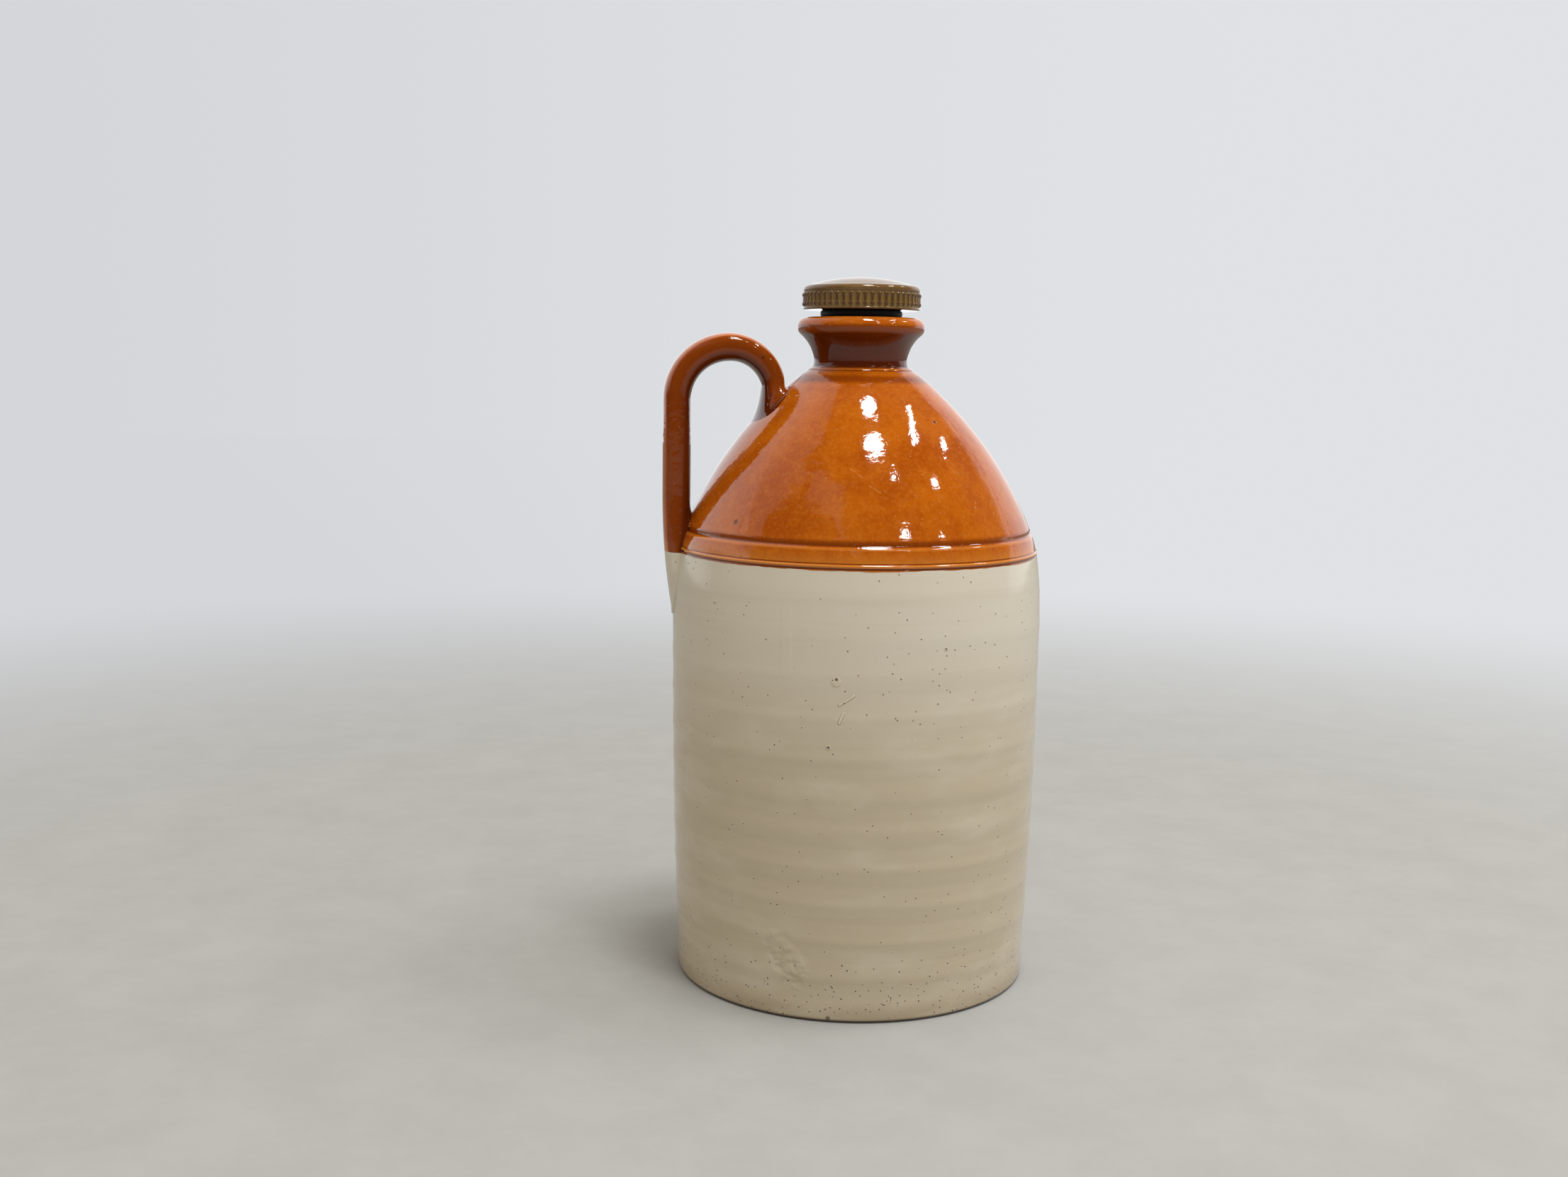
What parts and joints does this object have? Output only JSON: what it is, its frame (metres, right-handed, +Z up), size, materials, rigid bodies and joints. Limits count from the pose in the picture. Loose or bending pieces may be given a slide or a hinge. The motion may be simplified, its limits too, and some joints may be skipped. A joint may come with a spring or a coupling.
{
  "type": "stoneware flagon",
  "caption": "Tall one-gallon stoneware flagon with a cream body, an amber shoulder, a strap handle and a screw stopper with a rubber seal",
  "frame": {"origin": "centre of the flat foot, on the axis of the flagon", "axes": "+Z is up, along the axis; -X points to the handle"},
  "size_m": [0.1809, 0.1758, 0.3319],
  "materials": {
    "stoneware": "salt-white slip glaze below and clear amber glaze on the shoulder, neck and handle, both glossy over throwing rings and pinholes",
    "rubber": "black moulded rubber, matt",
    "stopper_glaze": "glossy olive-brown glaze, thin and lighter on the beads, dark in the hollows"
  },
  "bodies": {
    "flagon": {"flagon": "stoneware"},
    "seal": {"seal": "rubber"},
    "stopper": {"stopper": "stopper_glaze"}
  },
  "joints": [
    {"name": "lift", "type": "slide", "parent": "flagon", "child": "seal", "axis": [0, 0, 1], "range_m": [0, 0.0256]},
    {"name": "turn", "type": "hinge", "parent": "seal", "child": "stopper", "pos_m": [0, 0, 0.3132], "axis": [0, 0, 1], "range_deg": [0, 1530]}
  ],
  "couplings": [
    {"joint": "lift", "follows": "turn", "m_per_rad": 0.00095493}
  ]
}
